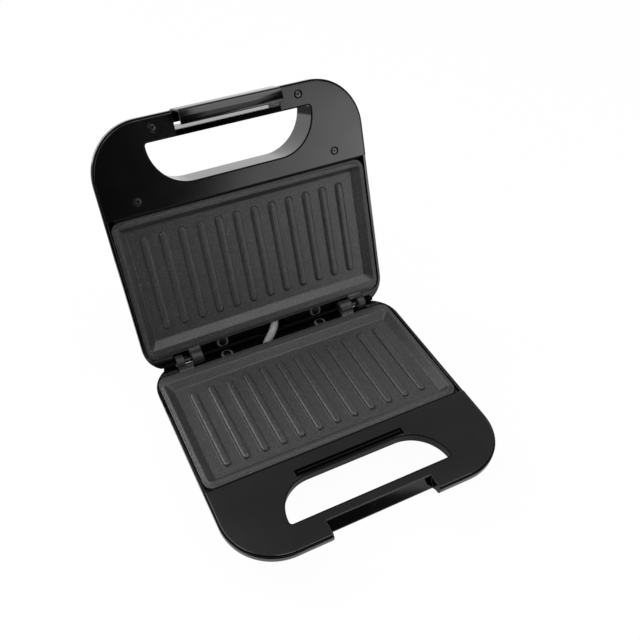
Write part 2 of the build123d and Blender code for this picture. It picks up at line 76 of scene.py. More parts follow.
def effect_group(name, inputs, outputs):
    """An empty shader node group with its sockets: inputs are name to default, outputs name to kind."""
    group = bpy.data.node_groups.new(name, "ShaderNodeTree")
    group.interface.new_socket(name="Vector", in_out="INPUT", socket_type="NodeSocketVector")
    for socket, value in inputs.items():
        made = group.interface.new_socket(name=socket, in_out="INPUT", socket_type="NodeSocketFloat")
        made.default_value = value
    for socket, kind in outputs.items():
        group.interface.new_socket(name=socket, in_out="OUTPUT", socket_type="NodeSocket" + kind)
    return group, group.nodes.new("NodeGroupInput"), group.nodes.new("NodeGroupOutput")


def wear(material, group, **values):
    """Places an effect group in a material, on Object coordinates, and gives back its node."""
    tree = material.node_tree
    place = tree.nodes.new("ShaderNodeTexCoord")
    node = tree.nodes.new("ShaderNodeGroup")
    node.node_tree = group
    tree.links.new(place.outputs["Object"], node.inputs["Vector"])
    for socket, value in values.items():
        node.inputs[socket.replace("_", " ")].default_value = value
    return node


def drive(material, node, bump, edge=0.0, **routes):
    """Leads a group's outputs to the shader: Socket_Name="Output". Height goes through a bump of the
    given distance, over sharp edges that are eased by the edge radius."""
    tree = material.node_tree
    shader = tree.nodes["Principled BSDF"]
    for socket, output in routes.items():
        tree.links.new(node.outputs[output], shader.inputs[socket.replace("_", " ")])
    relief = add_node(tree, "ShaderNodeBump", inputs={"Distance": bump, "Strength": 1.0})
    tree.links.new(node.outputs["Height"], relief.inputs["Height"])
    tree.links.new(relief.outputs["Normal"], shader.inputs["Normal"])
    if edge:
        eased = add_node(tree, "ShaderNodeBevel", samples=6, inputs={"Radius": edge})
        tree.links.new(eased.outputs["Normal"], relief.inputs["Normal"])


def paint(node_name, material):
    """Gives a carried-over CAD node its finish."""
    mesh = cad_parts[node_name].data
    mesh.materials.clear()
    mesh.materials.append(material)


# moulded skin: slow waviness, fine grain, and patches where the gloss is a little duller
moulded_skin, skin_in, skin_out = effect_group(
    "moulded_skin",
    {"Wave Scale": 40.0, "Grain Scale": 2600.0, "Grain Share": 0.3, "Gloss": 0.12, "Haze": 0.06,
     "Haze Scale": 26.0},
    {"Height": "Float", "Roughness": "Float"})
wave = add_node(moulded_skin, "ShaderNodeTexNoise", inputs={"Detail": 1.0})
grain = add_node(moulded_skin, "ShaderNodeTexNoise", inputs={"Detail": 2.0, "Roughness": 0.6})
haze = add_node(moulded_skin, "ShaderNodeTexNoise", inputs={
    "Detail": 6.0, "Roughness": 0.62, "Distortion": 0.4})
haze_band = add_node(moulded_skin, "ShaderNodeMapRange", inputs={"From Min": 0.42, "From Max": 0.68})
dulled = add_node(moulded_skin, "ShaderNodeMath", operation="MULTIPLY_ADD")
relief = add_node(moulded_skin, "ShaderNodeMath", operation="MULTIPLY_ADD")
for source, target in (("Wave Scale", wave), ("Grain Scale", grain), ("Haze Scale", haze)):
    moulded_skin.links.new(skin_in.outputs["Vector"], target.inputs["Vector"])
    moulded_skin.links.new(skin_in.outputs[source], target.inputs["Scale"])
moulded_skin.links.new(haze.outputs["Fac"], haze_band.inputs["Value"])
moulded_skin.links.new(haze_band.outputs["Result"], dulled.inputs[0])
moulded_skin.links.new(skin_in.outputs["Haze"], dulled.inputs[1])
moulded_skin.links.new(skin_in.outputs["Gloss"], dulled.inputs[2])
moulded_skin.links.new(grain.outputs["Fac"], relief.inputs[0])
moulded_skin.links.new(skin_in.outputs["Grain Share"], relief.inputs[1])
moulded_skin.links.new(wave.outputs["Fac"], relief.inputs[2])
moulded_skin.links.new(dulled.outputs["Value"], skin_out.inputs["Roughness"])
moulded_skin.links.new(relief.outputs["Value"], skin_out.inputs["Height"])

black_abs = surface("black_abs", (0.0016, 0.0016, 0.0018), 0.08, Specular_IOR_Level=0.5)
drive(black_abs, wear(black_abs, moulded_skin, Gloss=0.05, Haze=0.05, Grain_Share=0.02),
      bump=0.00008, edge=0.0007, Roughness="Roughness")
for housing in ("base_shell", "lid_shell"):
    paint(housing, black_abs)

# ------------------------------------------------------------------ handle decks
# The flat covers that close each handle and frame the plate: the same black plastic, as a thin
# moulding with a slightly softer polish, held by four screws. Each has one band of painted shade,
# dead black without reflections: the base deck along its grip groove, the lid deck along the bar
# before its finger hole.
hinge_y, hinge_z = 0.051158, 0.042
hinge_axis = (0, hinge_y, hinge_z)
lid_open = radians(112.75)


def deck_with_painted_shade(name, across, near, far, half):
    """Deck plastic with a band of painted shade, dead black: between two places along a direction that
    starts on the hinge axis, and within a half width."""
    fade = 0.0002
    made = surface(name, (0.0016, 0.0016, 0.0018), 0.14, Specular_IOR_Level=0.5)
    drive(made, wear(made, moulded_skin, Gloss=0.17, Haze=0.05, Grain_Share=0.05, Wave_Scale=24.0),
          bump=0.00005, edge=0.0006, Roughness="Roughness")
    tree = made.node_tree
    place = add_node(tree, "ShaderNodeTexCoord")
    from_axis = add_node(tree, "ShaderNodeVectorMath", operation="SUBTRACT", inputs={1: hinge_axis})
    along = add_node(tree, "ShaderNodeVectorMath", operation="DOT_PRODUCT", inputs={1: across})
    either_side = add_node(tree, "ShaderNodeVectorMath", operation="ABSOLUTE")
    sideways = add_node(tree, "ShaderNodeSeparateXYZ")
    past_near, before_far, within = [
        add_node(tree, "ShaderNodeMapRange", inputs={"From Min": none, "From Max": whole})
        for none, whole in ((near + fade, near - fade), (far - fade, far + fade), (half + fade, half - fade))]
    lengthwise = add_node(tree, "ShaderNodeMath", operation="MULTIPLY")
    band = add_node(tree, "ShaderNodeMath", operation="MULTIPLY")
    tree.links.new(place.outputs["Object"], from_axis.inputs[0])
    tree.links.new(from_axis.outputs["Vector"], along.inputs[0])
    tree.links.new(from_axis.outputs["Vector"], either_side.inputs[0])
    tree.links.new(either_side.outputs["Vector"], sideways.inputs["Vector"])
    tree.links.new(along.outputs["Value"], past_near.inputs["Value"])
    tree.links.new(along.outputs["Value"], before_far.inputs["Value"])
    tree.links.new(sideways.outputs["X"], within.inputs["Value"])
    tree.links.new(past_near.outputs["Result"], lengthwise.inputs[0])
    tree.links.new(before_far.outputs["Result"], lengthwise.inputs[1])
    tree.links.new(lengthwise.outputs["Value"], band.inputs[0])
    tree.links.new(within.outputs["Result"], band.inputs[1])
    # painted shade: Metallic 1 on the near-black colour leaves the band without reflections
    tree.links.new(band.outputs["Value"], tree.nodes["Principled BSDF"].inputs["Metallic"])
    return made


deck_painted_shade = deck_with_painted_shade("base_deck_painted_shade", (0, 1, 0), -0.1392, -0.1454, 0.0462)
lid_rearward = (0, cos(lid_open), -sin(lid_open))
paint("base_handle_deck", deck_painted_shade)
paint("lid_handle_deck", deck_with_painted_shade("lid_deck_painted_shade", lid_rearward, -0.1796, -0.1842, 0.0437))

# ------------------------------------------------------------------ rim beads, shade cords and grip ribs
# Each housing has a round bead moulded along its rim outside the deck and another round its finger
# hole, a dark cord lies along the plate's front edge where it meets the deck, and the base deck has
# three low ribs in its grip groove. The beads, the cords and the outer two ribs are painted shade:
# near-black with a weak gloss, dark lines for the shaded gaps at the deck's edges, under the plate's
# flange and in the groove.
base_seat = Matrix.Translation(hinge_axis)
lid_seat = base_seat @ Matrix(((1, 0, 0, 0), (0, cos(lid_open), -sin(lid_open), 0),
                               (0, -sin(lid_open), -cos(lid_open), 0), (0, 0, 0, 1)))


def pick(piece, kind, wanted):
    """Selects, in edit mode, only the vertices, edges or faces of a piece that pass a test."""
    bpy.ops.mesh.select_mode(type=kind)
    bpy.ops.mesh.select_all(action="DESELECT")
    drawn = bmesh.from_edit_mesh(piece.data)
    for element in {"VERT": drawn.verts, "EDGE": drawn.edges, "FACE": drawn.faces}[kind]:
        if wanted(element):
            element.select = True
    bmesh.update_edit_mesh(piece.data)


def edge_bead(name, x_span, y_span, corners, level, radius, seat, left_out=()):
    """A round bead along a rectangle with rounded corners, drawn flat and then seated. The corners are
    (x, y, rounding); the sides left out are ("x" or "y", place)."""
    (left, right), (front, rear) = x_span, y_span
    close = 1e-6
    bpy.ops.mesh.primitive_plane_add(size=1, location=((left + right) / 2, (front + rear) / 2, level))
    bead = bpy.context.object
    bead.name = name
    bead.scale = (right - left, rear - front, 1)
    bpy.ops.object.transform_apply(location=True, rotation=False, scale=True)
    bpy.ops.object.mode_set(mode="EDIT")
    for x, y, rounding in corners:
        pick(bead, "VERT", lambda v: abs(v.co.x - x) < close and abs(v.co.y - y) < close)
        bpy.ops.mesh.bevel(offset=rounding, segments=18, affect="VERTICES")
    bpy.ops.mesh.select_all(action="SELECT")
    bpy.ops.mesh.delete(type="ONLY_FACE")
    pick(bead, "EDGE", lambda e: any(all(abs(getattr(v.co, axis) - place) < close for v in e.verts)
                                     for axis, place in left_out))
    bpy.ops.mesh.delete(type="EDGE")
    bpy.ops.mesh.delete_loose(use_verts=True, use_edges=False, use_faces=False)
    bpy.ops.object.mode_set(mode="OBJECT")
    bpy.ops.object.convert(target="CURVE")
    bead.data.bevel_depth = radius
    bead.data.bevel_resolution = 3
    bead.data.use_fill_caps = True
    bpy.ops.object.convert(target="MESH")
    bead.data.transform(seat)
    if seat.determinant() < 0:
        bead.data.flip_normals()
    bpy.ops.object.shade_smooth()
    bead.data.materials.clear()
    bead.data.materials.append(bead_painted_shade)
    bpy.ops.object.select_all(action="DESELECT")
    return bead


# painted shade: near-black with a weak gloss, so that the beads read as dark gap lines
bead_painted_shade = surface("bead_painted_shade", (0.0018, 0.0018, 0.0020), 0.45, Specular_IOR_Level=0.08)
drive(bead_painted_shade, wear(bead_painted_shade, moulded_skin, Gloss=0.42, Haze=0.12, Grain_Share=0.2),
      bump=0.00003, Roughness="Roughness")
deck_rear, rim_side, bay_side, hole_front = -0.1288, 0.1128, 0.0439, -0.1793
rim_level, rim_radius, rim_rounding = -0.00165, 0.0006, 0.0414
hole_level, hole_radius, hole_rounding = -0.00085, 0.0007, 0.003
shade_cord_side, shade_cord_front, shade_cord_rear = 0.1066, -0.1284, -0.1200
shade_cord_level, shade_cord_radius = -0.00095, 0.0009
rib_side, rib_rear = 0.0445, -0.1300
for body, seat, rim_front, hole in (
        ("base", base_seat, -0.1990, (0.0680, -0.1460, 0.0302)),
        ("lid", lid_seat, -0.1966, (0.0696, -0.1432, 0.0326))):
    for side, x_span in (("left", (-rim_side, -bay_side)), ("right", (bay_side, rim_side))):
        outer, inner = x_span if side == "left" else reversed(x_span)
        rim = edge_bead(f"{body}_rim_bead_{side}", x_span, (rim_front, deck_rear),
                        [(outer, rim_front, rim_rounding)], rim_level, rim_radius, seat,
                        [("x", inner), ("y", deck_rear)])
        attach(rim, body)
    half, rear, rounding = hole
    corners = [(-half, rear, rounding), (half, rear, rounding),
               (-half, hole_front, hole_rounding), (half, hole_front, hole_rounding)]
    ring = edge_bead(body + "_finger_hole_bead", (-half, half), (hole_front, rear), corners,
                     hole_level, hole_radius, seat)
    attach(ring, body)
    # painted shadow: a dark cord where the plate's front flange shades the deck
    shade_cord = edge_bead(body + "_plate_shade_cord", (-shade_cord_side, shade_cord_side), (shade_cord_front, shade_cord_rear), [],
                       shade_cord_level, shade_cord_radius, seat,
                       [("x", -shade_cord_side), ("x", shade_cord_side), ("y", shade_cord_rear)])
    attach(shade_cord, body)
# painted shade: the outer two grip ribs in the bead's near-black; the middle one lies inside the deck's
# painted band
for place, level, radius, finish in (
        (-0.1447, -0.0012, 0.0006, bead_painted_shade), (-0.1433, -0.0009, 0.0005, deck_painted_shade),
        (-0.1417, -0.0010, 0.0008, bead_painted_shade)):
    rib = edge_bead(f"base_grip_rib_{round(place * -1e4)}", (-rib_side, rib_side), (place, rib_rear), [],
                    level, radius, base_seat, [("x", -rib_side), ("x", rib_side), ("y", rib_rear)])
    rib.data.materials[0] = finish
    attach(rib, "base")

# ------------------------------------------------------------------ cooking plates
# Die-cast aluminium with the ribs, the pan walls and the hinge knuckles cast in one, sprayed with
# a dark grey non-stick coat whose fine mineral flecks show as a satin speckle.
coated_cast, cast_in, cast_out = effect_group(
    "coated_cast",
    {"Fleck Scale": 1000.0, "Orange Peel Scale": 900.0, "Cloud Scale": 30.0, "Gloss": 0.27, "Satin": 0.14},
    {"Height": "Float", "Roughness": "Float", "Fleck": "Float"})
fleck = add_node(coated_cast, "ShaderNodeTexNoise", inputs={"Detail": 3.0, "Roughness": 0.7})
peel = add_node(coated_cast, "ShaderNodeTexNoise", inputs={"Detail": 2.0})
cloud = add_node(coated_cast, "ShaderNodeTexNoise", inputs={"Detail": 4.0, "Roughness": 0.55})
fleck_band = add_node(coated_cast, "ShaderNodeMapRange", inputs={"From Min": 0.52, "From Max": 0.66})
satin = add_node(coated_cast, "ShaderNodeMath", operation="MULTIPLY_ADD")
peel_relief = add_node(coated_cast, "ShaderNodeMath", operation="MULTIPLY_ADD", inputs={1: 0.5})
for source, target in (("Fleck Scale", fleck), ("Orange Peel Scale", peel), ("Cloud Scale", cloud)):
    coated_cast.links.new(cast_in.outputs["Vector"], target.inputs["Vector"])
    coated_cast.links.new(cast_in.outputs[source], target.inputs["Scale"])
coated_cast.links.new(fleck.outputs["Fac"], fleck_band.inputs["Value"])
coated_cast.links.new(cloud.outputs["Fac"], satin.inputs[0])
coated_cast.links.new(cast_in.outputs["Satin"], satin.inputs[1])
coated_cast.links.new(cast_in.outputs["Gloss"], satin.inputs[2])
coated_cast.links.new(fleck.outputs["Fac"], peel_relief.inputs[0])
coated_cast.links.new(peel.outputs["Fac"], peel_relief.inputs[2])
coated_cast.links.new(satin.outputs["Value"], cast_out.inputs["Roughness"])
coated_cast.links.new(peel_relief.outputs["Value"], cast_out.inputs["Height"])
coated_cast.links.new(fleck_band.outputs["Result"], cast_out.inputs["Fleck"])


def two_tone(material, mask_output, dark, light):
    """Blends the material's colour between two tones by a mask."""
    tree = material.node_tree
    mix = add_node(tree, "ShaderNodeMix", data_type="RGBA")
    mix.inputs["A"].default_value = (*dark, 1)
    mix.inputs["B"].default_value = (*light, 1)
    tree.links.new(mask_output, mix.inputs["Factor"])
    tree.links.new(mix.outputs["Result"], tree.nodes["Principled BSDF"].inputs["Base Color"])


nonstick = surface("nonstick_coat", (0.02, 0.02, 0.0205), 0.42, Specular_IOR_Level=0.4)
nonstick_skin = wear(nonstick, coated_cast)
drive(nonstick, nonstick_skin, bump=0.00010, edge=0.0017, Roughness="Roughness")
two_tone(nonstick, nonstick_skin.outputs["Fleck"], (0.026, 0.026, 0.0265), (0.082, 0.082, 0.083))
for plate in ("base_grill_plate", "lid_grill_plate"):
    paint(plate, nonstick)

# ------------------------------------------------------------------ heating parts inside the housings
# Under each plate: a tubular steel element, a folded aluminium reflector, a sleeved thermal fuse and
# a ceramic terminal block. The thermostat is in the base, and the screws are zinc-plated steel.
brushed, brushed_in, brushed_out = effect_group(
    "brushed_metal", {"Line Scale": 900.0, "Gloss": 0.28, "Spread": 0.18},
    {"Height": "Float", "Roughness": "Float", "Tint": "Float"})
stretch = add_node(brushed, "ShaderNodeMapping", inputs={"Scale": (0.04, 1.0, 1.0)})
line = add_node(brushed, "ShaderNodeTexNoise", inputs={"Detail": 4.0, "Roughness": 0.7})
line_rough = add_node(brushed, "ShaderNodeMath", operation="MULTIPLY_ADD")
brushed.links.new(brushed_in.outputs["Vector"], stretch.inputs["Vector"])
brushed.links.new(stretch.outputs["Vector"], line.inputs["Vector"])
brushed.links.new(brushed_in.outputs["Line Scale"], line.inputs["Scale"])
brushed.links.new(line.outputs["Fac"], line_rough.inputs[0])
brushed.links.new(brushed_in.outputs["Spread"], line_rough.inputs[1])
brushed.links.new(brushed_in.outputs["Gloss"], line_rough.inputs[2])
brushed.links.new(line_rough.outputs["Value"], brushed_out.inputs["Roughness"])
brushed.links.new(line.outputs["Fac"], brushed_out.inputs["Height"])
brushed.links.new(line.outputs["Fac"], brushed_out.inputs["Tint"])


def metal(name, dark, light, gloss, spread, scale=900.0):
    """A drawn or brushed metal whose tone and gloss follow its fine lines."""
    made = surface(name, light, gloss, Metallic=1.0)
    lines = wear(made, brushed, Gloss=gloss, Spread=spread, Line_Scale=scale)
    drive(made, lines, bump=0.00001, Roughness="Roughness")
    two_tone(made, lines.outputs["Tint"], dark, light)
    return made


def moulded(name, color, gloss, haze=0.08, specular=0.4, bump=0.00008, **sockets):
    """A moulded plastic, rubber or ceramic with the moulded skin's grain."""
    made = surface(name, color, gloss, Specular_IOR_Level=specular, **sockets)
    drive(made, wear(made, moulded_skin, Gloss=gloss, Haze=haze), bump=bump, edge=0.0003,
          Roughness="Roughness")
    return made


sheath_steel = metal("sheath_steel", (0.20, 0.17, 0.14), (0.34, 0.32, 0.30), 0.38, 0.2)
sheet_aluminium = metal("sheet_aluminium", (0.62, 0.63, 0.64), (0.80, 0.81, 0.82), 0.22, 0.2, 500.0)
zinc_steel = metal("zinc_steel", (0.44, 0.45, 0.46), (0.62, 0.62, 0.62), 0.25, 0.15, 1500.0)
phenolic = moulded("phenolic_brown", (0.10, 0.045, 0.02), 0.40)
glass_sleeve = moulded("woven_glass_sleeve", (0.66, 0.62, 0.50), 0.72, bump=0.0002)
steatite = moulded("steatite_ceramic", (0.74, 0.71, 0.63), 0.55)
for side in ("base", "lid"):
    paint(side + "_heater", sheath_steel)
    paint(side + "_heat_reflector", sheet_aluminium)
    paint(side + "_thermal_fuse", glass_sleeve)
    paint(side + "_terminal_block", steatite)
    paint(side + "_plate_screws", zinc_steel)
paint("base_deck_screws", zinc_steel)
paint("thermostat", phenolic)

# ------------------------------------------------------------------ hinge line
# Near-black steel pins through the plate knuckles, and a matt black moulded strip on each side with
# two screws in ringed seats. These and the lid deck's four are cold-headed steel, oxide black; the
# strip screws take a darker copy of the oxide, painted shade.
near_black_steel = metal("near_black_steel", (0.02, 0.02, 0.022), (0.05, 0.05, 0.052), 0.3, 0.12, 1500.0)
black_oxide = metal("black_oxide_steel", (0.05, 0.05, 0.052), (0.11, 0.11, 0.114), 0.22, 0.14, 1200.0)
oxide_painted_shade = metal("oxide_painted_shade_steel", (0.012, 0.012, 0.013), (0.04, 0.04, 0.042), 0.3, 0.14, 1200.0)
paint("hinge_pins", near_black_steel)

# painted shade: a matt near-black for the screws' recesses, their seat rings and the faces in the hinge gap
painted_shade_black = surface("painted_shade_black", (0.0010, 0.0010, 0.0011), 0.6, Specular_IOR_Level=0.04)
drive(painted_shade_black, wear(painted_shade_black, moulded_skin, Gloss=0.55, Haze=0.15), bump=0.00004,
      Roughness="Roughness")


def upright(radius, low, high, vertices):
    """A round disc or post on the Z axis between two levels."""
    bpy.ops.mesh.primitive_cylinder_add(vertices=vertices, radius=radius, depth=high - low,
                                        location=(0, 0, (low + high) / 2))
    bpy.ops.object.transform_apply(location=True, rotation=True, scale=True)
    return bpy.context.object


def join(pieces):
    """Joins pieces into the first of them, which keeps its name."""
    bpy.ops.object.select_all(action="DESELECT")
    for piece in pieces:
        piece.select_set(True)
    bpy.context.view_layer.objects.active = pieces[0]
    bpy.ops.object.join()


# one pan-head screw with a tapered cross recess, over a matt black ring that fills its seat; the recess and
# the ring are painted shade
head_height, shank_length = 0.0010, 0.0095
recess_length, recess_width, recess_middle, recess_height = 0.0031, 0.00075, 0.0008, 0.0012
screw = upright(0.0025, 0, head_height, 48)
screw.name = "pan_head_screw"
bpy.ops.object.mode_set(mode="EDIT")
pick(screw, "FACE", lambda f: f.calc_center_median().z > 0.99 * head_height)
bpy.ops.mesh.bevel(offset=0.00045, segments=4)
bpy.ops.object.mode_set(mode="OBJECT")
for along, across in ((recess_length, recess_width), (recess_width, recess_length)):
    bpy.ops.mesh.primitive_cube_add(size=1, location=(0, 0, recess_middle))
    cutter = bpy.context.object
    cutter.scale = (along, across, recess_height)
    bpy.ops.object.transform_apply(location=True, rotation=True, scale=True)
    bpy.ops.object.mode_set(mode="EDIT")
    pick(cutter, "VERT", lambda v: v.co.z < recess_middle)
    bpy.ops.transform.resize(value=(0.62, 0.62, 1))
    bpy.ops.object.mode_set(mode="OBJECT")
    bpy.ops.object.select_all(action="DESELECT")
    screw.select_set(True)
    bpy.context.view_layer.objects.active = screw
    bpy.ops.object.modifier_add(type="BOOLEAN")
    screw.modifiers["Boolean"].object = cutter
    bpy.ops.object.modifier_apply(modifier="Boolean")
    bpy.data.objects.remove(cutter)
screw.data.materials.append(black_oxide)
screw.data.materials.append(painted_shade_black)
for facet in screw.data.polygons:
    in_recess = facet.center.z > 0.00015 and facet.center.xy.length < 0.0019
    if in_recess and (facet.center.z < recess_middle or facet.normal.z < 0.5):
        facet.material_index = 1
shank = upright(0.0012, -shank_length, 0, 24)
bpy.ops.object.mode_set(mode="EDIT")
pick(shank, "VERT", lambda v: v.co.z < -0.9 * shank_length)
bpy.ops.transform.resize(value=(0.2, 0.2, 1))
bpy.ops.object.mode_set(mode="OBJECT")
shank.data.materials.append(black_oxide)
seat_shade_ring = upright(0.0030, 0.00003, 0.00013, 48)
seat_shade_ring.data.materials.append(painted_shade_black)
join([screw, shank, seat_shade_ring])
bpy.ops.object.shade_smooth_by_angle(angle=radians(30))
bpy.ops.object.select_all(action="DESELECT")
deck_places = ((-0.0600, -0.1886), (0.0600, -0.1886), (-0.0845, -0.1386), (0.0845, -0.1386))
strip_screw_x = 0.045
strip_places = ((-strip_screw_x, -0.0041), (strip_screw_x, -0.0041))
for node, body, seat, places, level, steel in (
        ("lid_deck_screws", "lid", lid_seat, deck_places, -0.0015, black_oxide),
        ("base_strip_screws", "base", base_seat, strip_places, -0.0045, oxide_painted_shade),
        ("lid_strip_screws", "lid", lid_seat, strip_places, -0.0045, oxide_painted_shade)):
    driven = []
    for number, (x, y) in enumerate(places):
        one = bpy.data.objects.new(f"{node}_{number}", screw.data.copy())
        bpy.context.scene.collection.objects.link(one)
        turned = Matrix.Rotation(radians(35 + 47 * number), 4, "Z")
        one.data.transform(seat @ Matrix.Translation((x, y, level)) @ turned)
        if seat is lid_seat:
            one.data.flip_normals()
        driven.append(one)
    join(driven)
    driven[0].name = node + "_set"
    driven[0].data.materials[0] = steel
    bpy.ops.object.select_all(action="DESELECT")
    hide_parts(node)
    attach(driven[0], body)
bpy.data.objects.remove(screw)

# the strips, their colour grey in a ring round each screw
for side, seat_y, seat_z in (("base", 0.0471, 0.0375), ("lid", 0.0569, 0.0440)):
    strip_finish = moulded(side + "_strip_black", (0.0008, 0.0008, 0.0009), 0.42, 0.12, 0.03, 0.00010)
    tree = strip_finish.node_tree
    place = add_node(tree, "ShaderNodeTexCoord")
    either_side = add_node(tree, "ShaderNodeVectorMath", operation="ABSOLUTE")
    from_seat = add_node(tree, "ShaderNodeVectorMath", operation="DISTANCE",
                         inputs={1: (strip_screw_x, seat_y, seat_z)})
    outside = add_node(tree, "ShaderNodeMapRange", inputs={"From Min": 0.0054, "From Max": 0.0052})
    inside = add_node(tree, "ShaderNodeMapRange", inputs={"From Min": 0.0034, "From Max": 0.0036})
    ring = add_node(tree, "ShaderNodeMath", operation="MULTIPLY")
    tree.links.new(place.outputs["Object"], either_side.inputs[0])
    tree.links.new(either_side.outputs["Vector"], from_seat.inputs[0])
    tree.links.new(from_seat.outputs["Value"], outside.inputs["Value"])
    tree.links.new(from_seat.outputs["Value"], inside.inputs["Value"])
    tree.links.new(outside.outputs["Result"], ring.inputs[0])
    tree.links.new(inside.outputs["Result"], ring.inputs[1])
    two_tone(strip_finish, ring.outputs["Value"], (0.0008, 0.0008, 0.0009), (0.075, 0.075, 0.077))
    paint(side + "_rear_strip", strip_finish)

# painted shade: the faces that line the gap between the housings and the seal ridge on the hinge axis take a
# matt near-black, and the knuckles a darker copy of the plates' coat
knuckle_painted_shade = surface("knuckle_painted_shade", (0.014, 0.014, 0.0145), 0.42, Specular_IOR_Level=0.3)
knuckle_skin = wear(knuckle_painted_shade, coated_cast)
drive(knuckle_painted_shade, knuckle_skin, bump=0.00008, edge=0.0012, Roughness="Roughness")
two_tone(knuckle_painted_shade, knuckle_skin.outputs["Fleck"], (0.014, 0.014, 0.0145), (0.036, 0.036, 0.0365))
hinge_line = Vector((hinge_y, hinge_z))
seal_end, seal_reach = 0.101, 0.003
for node, shade_finish, reach, span in (
        ("base_shell", painted_shade_black, 0.0125, 0.0660),
        ("lid_shell", painted_shade_black, 0.0125, 0.0660),
        ("base_grill_plate", knuckle_painted_shade, 0.0078, 0.0925),
        ("lid_grill_plate", knuckle_painted_shade, 0.0078, 0.0925)):
    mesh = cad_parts[node].data
    mesh.materials.append(shade_finish)
    near = []
    for v in mesh.vertices:
        off_axis, sideways = (v.co.yz - hinge_line).length, abs(v.co.x)
        near.append((sideways < span and off_axis < reach) or (sideways < seal_end and off_axis < seal_reach))
    for facet in mesh.polygons:
        if all(near[corner] for corner in facet.vertices):
            facet.material_index = 1

# ------------------------------------------------------------------ crossover lead
# The lead that feeds the lid's element: a grey silicone-coated glass braid that leaves the base
# through its strip, bows behind the plates and enters the lid.
lead_points = [
    (-0.0105, 0.03516, 0.01500), (-0.0110, 0.04346, 0.02640), (-0.0078, 0.04696, 0.03540),
    (-0.0025, 0.04866, 0.04140), (0.0012, 0.05156, 0.04430), (0.0048, 0.05725, 0.04335),
    (0.0088, 0.06639, 0.04418), (0.0092, 0.07771, 0.04713),
]
lead_radius = 0.0034
bpy.ops.curve.primitive_nurbs_path_add()
spine = bpy.context.object
spine.data.splines.clear()
run = spine.data.splines.new("NURBS")
run.points.add(len(lead_points) - 1)
for knot, place in zip(run.points, lead_points):
    knot.co = (*place, 1)
run.order_u = 3
run.use_endpoint_u = True
run.resolution_u = 10
middle_line = bpy.data.meshes.new_from_object(spine)
line_points = [v.co.copy() for v in middle_line.vertices]
bpy.data.objects.remove(spine)

around = 24
tube = bmesh.new()
uv = tube.loops.layers.uv.new("UVMap")
rings, run_length, lengths = [], 0.0, [0.0]
side_way = Vector((0, -1, 0))
for number, place in enumerate(line_points):
    ahead = line_points[min(number + 1, len(line_points) - 1)] - line_points[max(number - 1, 0)]
    ahead.normalize()
    side_way = (side_way - side_way.dot(ahead) * ahead).normalized()
    other_way = ahead.cross(side_way)
    turns = [2 * pi * step / around for step in range(around)]
    rings.append([tube.verts.new(place + lead_radius * (cos(a) * side_way + sin(a) * other_way))
                  for a in turns])
    if number:
        run_length += (place - line_points[number - 1]).length
        lengths.append(run_length)
for number in range(len(rings) - 1):
    for step in range(around):
        following = (step + 1) % around
        quad = tube.faces.new((rings[number][step], rings[number][following],
                               rings[number + 1][following], rings[number + 1][step]))
        quad.smooth = True
        spots = ((step, number), (step + 1, number), (step + 1, number + 1), (step, number + 1))
        for loop, (turn, ring) in zip(quad.loops, spots):
            loop[uv].uv = (turn / around, lengths[ring] / (2 * pi * lead_radius))
tube.faces.new(list(reversed(rings[0])))
tube.faces.new(rings[-1])
lead_mesh = bpy.data.meshes.new("crossover_sleeve")
tube.to_mesh(lead_mesh)
tube.free()
lead = bpy.data.objects.new("crossover_sleeve", lead_mesh)
bpy.context.scene.collection.objects.link(lead)

sleeve = surface("coated_glass_sleeve", (0.34, 0.34, 0.345), 0.36, Specular_IOR_Level=0.5)
tree = sleeve.node_tree
place = add_node(tree, "ShaderNodeTexCoord")
twist = add_node(tree, "ShaderNodeMapping", inputs={
    "Scale": (14.0, 14.0, 1.0), "Rotation": (0, 0, radians(45))})
weave = add_node(tree, "ShaderNodeTexBrick", offset=0.5, inputs={
    "Scale": 1.0, "Mortar Size": 0.05, "Mortar Smooth": 0.8, "Color1": (0.33, 0.33, 0.335, 1),
    "Color2": (0.22, 0.22, 0.225, 1), "Mortar": (0.08, 0.08, 0.082, 1)})
thread = add_node(tree, "ShaderNodeBump", inputs={"Distance": 0.00015, "Strength": 0.7})
tree.links.new(place.outputs["UV"], twist.inputs["Vector"])
tree.links.new(twist.outputs["Vector"], weave.inputs["Vector"])
tree.links.new(weave.outputs["Color"], tree.nodes["Principled BSDF"].inputs["Base Color"])
tree.links.new(weave.outputs["Color"], thread.inputs["Height"])
tree.links.new(thread.outputs["Normal"], tree.nodes["Principled BSDF"].inputs["Normal"])
lead_mesh.materials.append(sleeve)
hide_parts("crossover_lead")
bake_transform(lead)

# ------------------------------------------------------------------ lid lamps
# Two neon bulbs in a carrier moulded in pale nylon, behind tinted plastic lenses in holes of the
# lid's top. The lenses go in from inside, and the carrier traps their flanges.
lens_red = surface("lens_red", (0.42, 0.012, 0.010), 0.12, Specular_IOR_Level=0.5, Coat_Weight=0.4)
lens_green = surface("lens_green", (0.010, 0.20, 0.03), 0.12, Specular_IOR_Level=0.5, Coat_Weight=0.4)
for lens in (lens_red, lens_green):
    drive(lens, wear(lens, moulded_skin, Gloss=0.10, Haze=0.05, Grain_Share=0.05), bump=0.00005,
          Roughness="Roughness")
paint("lens_power", lens_red)
paint("lens_ready", lens_green)
paint("lamp_carrier", moulded("nylon_natural", (0.66, 0.64, 0.58), 0.5))
paint("neon_lamps", moulded("neon_glass", (0.80, 0.62, 0.50), 0.08, Transmission_Weight=0.6))

